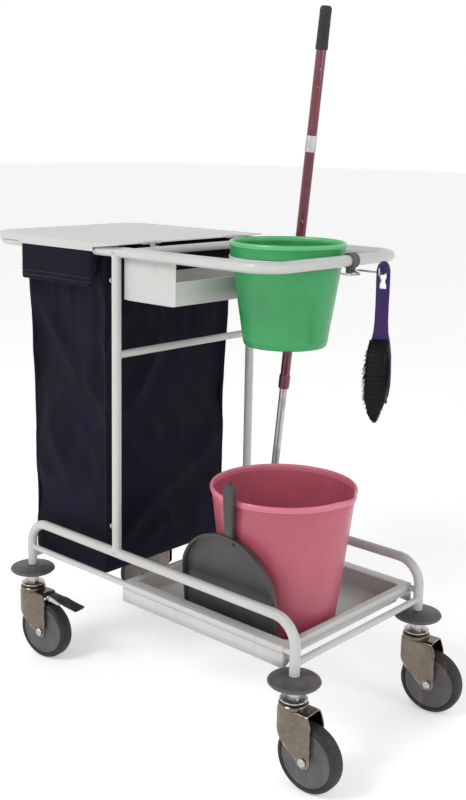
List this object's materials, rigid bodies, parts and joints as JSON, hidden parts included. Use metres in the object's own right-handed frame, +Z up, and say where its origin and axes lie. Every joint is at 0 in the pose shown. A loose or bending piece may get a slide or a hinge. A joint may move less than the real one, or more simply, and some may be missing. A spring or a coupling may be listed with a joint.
{
  "type": "housekeeping cart",
  "caption": "Steel housekeeping cart on swivel casters with a lidded laundry bag, trays, two buckets, telescopic mop pole, dustpan and hanging brush.",
  "frame": {"origin": "on the floor, under the middle of the bounding box", "axes": "+Z up, +X towards the bucket end, -Y the near long side with the dustpan"},
  "size_m": [0.9552, 0.486, 1.3685],
  "materials": {
    "frame_paint": "light warm grey gloss powder coat",
    "zinc_steel": "bright zinc plate",
    "grey_plastic": "dark grey moulded plastic",
    "tread_rubber": "near black rubber",
    "pedal_plastic": "black moulded plastic",
    "bag_cloth": "navy woven cloth",
    "pink_plastic": "pink moulded plastic",
    "green_plastic": "green moulded plastic",
    "pan_plastic": "charcoal moulded plastic",
    "pole_paint": "burgundy gloss coat",
    "pole_bare": "satin",
    "black_grip": "matt",
    "brush_plastic": "purple moulded plastic",
    "bristle": "black bristle"
  },
  "bodies": {
    "frame": {"side_rail_near": "frame_paint", "side_rail_far": "frame_paint", "low_rail_near": "frame_paint", "low_rail_far": "frame_paint", "low_cross_bucket_end": "frame_paint", "low_cross_bag_end": "frame_paint", "upright_near": "frame_paint", "upright_far": "frame_paint", "upright_bolt_upper": "zinc_steel", "upright_bolt_lower": "zinc_steel", "crossbar": "frame_paint", "top_rail_bag_end": "frame_paint", "top_rail_bucket_end": "frame_paint", "bag_bar_end": "frame_paint", "bag_bar_middle": "frame_paint", "lid_hinge_bar": "frame_paint", "laundry_bag": "bag_cloth", "small_tray": "frame_paint", "bucket_ring": "frame_paint", "lower_tray": "frame_paint", "hook_clip": "grey_plastic", "hook_wire": "zinc_steel", "near_bag_end_bumper_disc": "grey_plastic", "near_bag_end_caster_stem": "zinc_steel", "near_bucket_end_bumper_disc": "grey_plastic", "near_bucket_end_caster_stem": "zinc_steel", "far_bucket_end_bumper_disc": "grey_plastic", "far_bucket_end_caster_stem": "zinc_steel", "far_bag_end_bumper_disc": "grey_plastic", "far_bag_end_caster_stem": "zinc_steel"},
    "lid": {"lid": "frame_paint"},
    "green_bucket": {"green_bucket": "green_plastic"},
    "pink_bucket": {"pink_bucket": "pink_plastic"},
    "dustpan": {"dustpan": "pan_plastic"},
    "mop_lower": {"mop_foot_cap": "black_grip", "mop_lower_tube": "pole_bare"},
    "mop_upper": {"mop_upper_tube": "pole_paint", "mop_label_band": "pole_bare", "mop_grip": "black_grip"},
    "brush": {"brush_handle": "brush_plastic", "brush_bristles": "bristle"},
    "near_bag_end_swivel": {"near_bag_end_caster_fork": "zinc_steel", "near_bag_end_wheel_axle": "zinc_steel"},
    "near_bag_end_wheel": {"near_bag_end_wheel_core": "grey_plastic", "near_bag_end_wheel_tyre": "tread_rubber"},
    "near_bag_end_pedal": {"near_bag_end_brake_pedal": "pedal_plastic"},
    "near_bucket_end_swivel": {"near_bucket_end_caster_fork": "zinc_steel", "near_bucket_end_wheel_axle": "zinc_steel"},
    "near_bucket_end_wheel": {"near_bucket_end_wheel_core": "grey_plastic", "near_bucket_end_wheel_tyre": "tread_rubber"},
    "far_bucket_end_swivel": {"far_bucket_end_caster_fork": "zinc_steel", "far_bucket_end_wheel_axle": "zinc_steel"},
    "far_bucket_end_wheel": {"far_bucket_end_wheel_core": "grey_plastic", "far_bucket_end_wheel_tyre": "tread_rubber"},
    "far_bag_end_swivel": {"far_bag_end_caster_fork": "zinc_steel", "far_bag_end_wheel_axle": "zinc_steel"},
    "far_bag_end_wheel": {"far_bag_end_wheel_core": "grey_plastic", "far_bag_end_wheel_tyre": "tread_rubber"},
    "far_bag_end_pedal": {"far_bag_end_brake_pedal": "pedal_plastic"}
  },
  "joints": [
    {"name": "lid_hinge", "type": "hinge", "parent": "frame", "child": "lid", "pos_m": [-0.06452, -0.00003, 0.919], "axis": [0, 1, 0], "range_deg": [0, 100]},
    {"name": "green_bucket_lift", "type": "slide", "parent": "frame", "child": "green_bucket", "axis": [0, 0, 1], "range_m": [0, 0.25]},
    {"name": "pink_bucket_lift", "type": "slide", "parent": "frame", "child": "pink_bucket", "axis": [0, 0, 1], "range_m": [0, 0.13]},
    {"name": "dustpan_lift", "type": "slide", "parent": "frame", "child": "dustpan", "axis": [0, -0.1271, 0.9919], "range_m": [0, 0.2]},
    {"name": "mop_lift", "type": "slide", "parent": "frame", "child": "mop_lower", "axis": [0.1022, 0, 0.9948], "range_m": [0, 0.4]},
    {"name": "mop_telescope", "type": "slide", "parent": "mop_lower", "child": "mop_upper", "axis": [0.1022, 0, 0.9948], "range_m": [-0.15, 0.1]},
    {"name": "brush_swing", "type": "hinge", "parent": "frame", "child": "brush", "pos_m": [0.36848, 0.03397, 0.885], "axis": [0, 1, 0], "range_deg": [-25, 25]},
    {"name": "near_bag_end_swivel_turn", "type": "hinge", "parent": "frame", "child": "near_bag_end_swivel", "pos_m": [-0.35352, -0.19503, 0.15], "axis": [0, 0, 1], "continuous": true},
    {"name": "near_bag_end_wheel_spin", "type": "hinge", "parent": "near_bag_end_swivel", "child": "near_bag_end_wheel", "pos_m": [-0.31599, -0.18909, 0.0625], "axis": [-0.1564, 0.9877, 0], "continuous": true},
    {"name": "near_bag_end_pedal_press", "type": "hinge", "parent": "near_bag_end_swivel", "child": "near_bag_end_pedal", "pos_m": [-0.30414, -0.18721, 0.139], "axis": [-0.1564, 0.9877, 0], "range_deg": [0, 10]},
    {"name": "near_bucket_end_swivel_turn", "type": "hinge", "parent": "frame", "child": "near_bucket_end_swivel", "pos_m": [0.37648, -0.19503, 0.15], "axis": [0, 0, 1], "continuous": true},
    {"name": "near_bucket_end_wheel_spin", "type": "hinge", "parent": "near_bucket_end_swivel", "child": "near_bucket_end_wheel", "pos_m": [0.41443, -0.19304, 0.0625], "axis": [-0.0523, 0.9986, 0], "continuous": true},
    {"name": "far_bucket_end_swivel_turn", "type": "hinge", "parent": "frame", "child": "far_bucket_end_swivel", "pos_m": [0.37648, 0.19497, 0.15], "axis": [0, 0, 1], "continuous": true},
    {"name": "far_bucket_end_wheel_spin", "type": "hinge", "parent": "far_bucket_end_swivel", "child": "far_bucket_end_wheel", "pos_m": [0.41419, 0.1996, 0.0625], "axis": [-0.1219, 0.9925, 0], "continuous": true},
    {"name": "far_bag_end_swivel_turn", "type": "hinge", "parent": "frame", "child": "far_bag_end_swivel", "pos_m": [-0.35352, 0.19497, 0.15], "axis": [0, 0, 1], "continuous": true},
    {"name": "far_bag_end_wheel_spin", "type": "hinge", "parent": "far_bag_end_swivel", "child": "far_bag_end_wheel", "pos_m": [-0.38643, 0.17597, 0.0625], "axis": [0.5, -0.866, 0], "continuous": true},
    {"name": "far_bag_end_pedal_press", "type": "hinge", "parent": "far_bag_end_swivel", "child": "far_bag_end_pedal", "pos_m": [-0.39682, 0.16997, 0.139], "axis": [0.5, -0.866, 0], "range_deg": [0, 10]}
  ]
}
